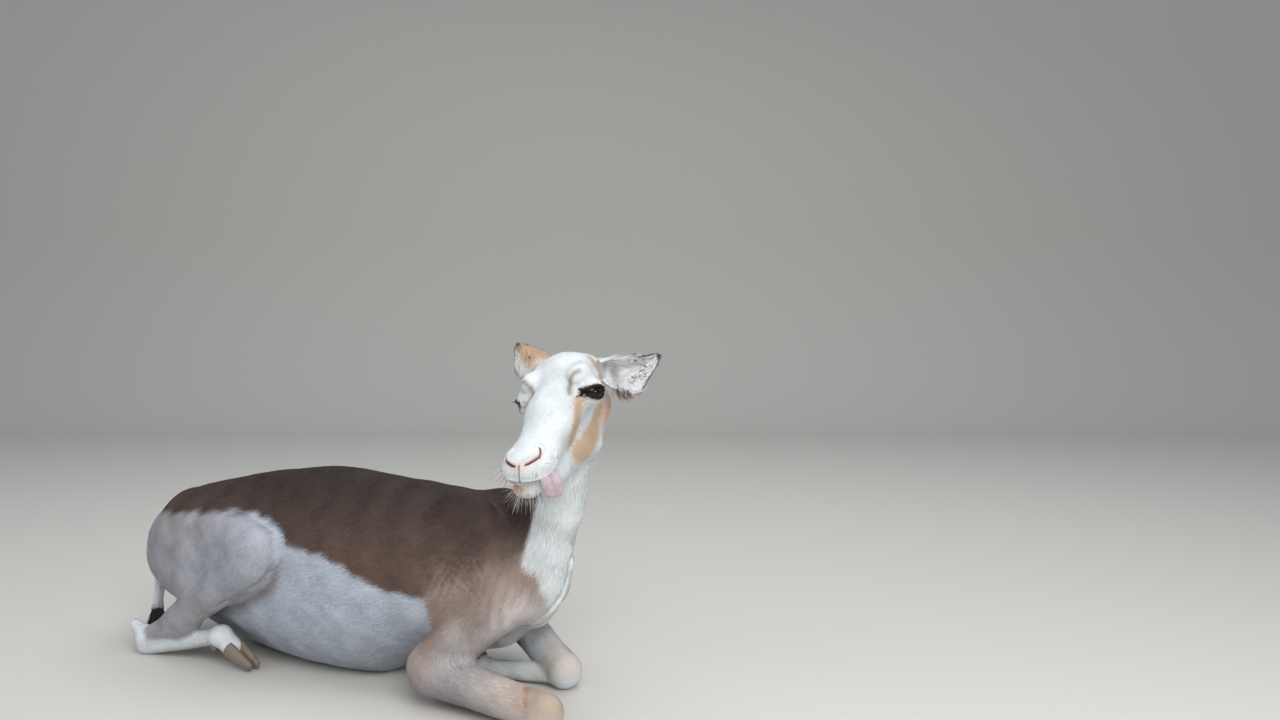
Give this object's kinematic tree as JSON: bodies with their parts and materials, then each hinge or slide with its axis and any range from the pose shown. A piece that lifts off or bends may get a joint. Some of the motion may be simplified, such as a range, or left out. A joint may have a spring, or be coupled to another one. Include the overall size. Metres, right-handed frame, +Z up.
{
  "type": "springbok figure",
  "caption": "Still, life-size figure of a young springbok lying on its breast, legs folded, head turned to its right.",
  "frame": {"origin": "on the floor under the middle of the belly, where the belly rests", "axes": "+X forward along the trunk to the head end, +Y to the animal's left, +Z up from the floor"},
  "size_m": [0.7553, 0.2945, 0.4074],
  "materials": {
    "brown_coat": "short flat hair, walnut brown, matt",
    "white_coat": "short flat hair, white, matt",
    "tan_coat": "short flat hair, pale tan, matt",
    "hoof_horn": "grey-brown horn, worn satin",
    "eye": "near-black, wet gloss",
    "tongue": "pale lilac-pink flesh, moist"
  },
  "bodies": {
    "root": {"torso": "brown_coat", "neck": "brown_coat", "head": "white_coat", "ear_right": "tan_coat", "ear_left": "tan_coat", "eye_right": "eye", "eye_left": "eye", "tongue": "tongue", "tail": "white_coat", "forearm_right": "tan_coat", "fore_cannon_right": "white_coat", "thigh_right": "white_coat", "shank_right": "white_coat", "hind_cannon_right": "white_coat", "fore_hoof_right_inner": "hoof_horn", "fore_hoof_right_outer": "hoof_horn", "hind_hoof_right_inner": "hoof_horn", "hind_hoof_right_outer": "hoof_horn", "forearm_left": "tan_coat", "fore_cannon_left": "white_coat", "thigh_left": "white_coat", "shank_left": "white_coat", "hind_cannon_left": "white_coat", "fore_hoof_left_inner": "hoof_horn", "fore_hoof_left_outer": "hoof_horn", "hind_hoof_left_inner": "hoof_horn", "hind_hoof_left_outer": "hoof_horn"}
  },
  "joints": []
}
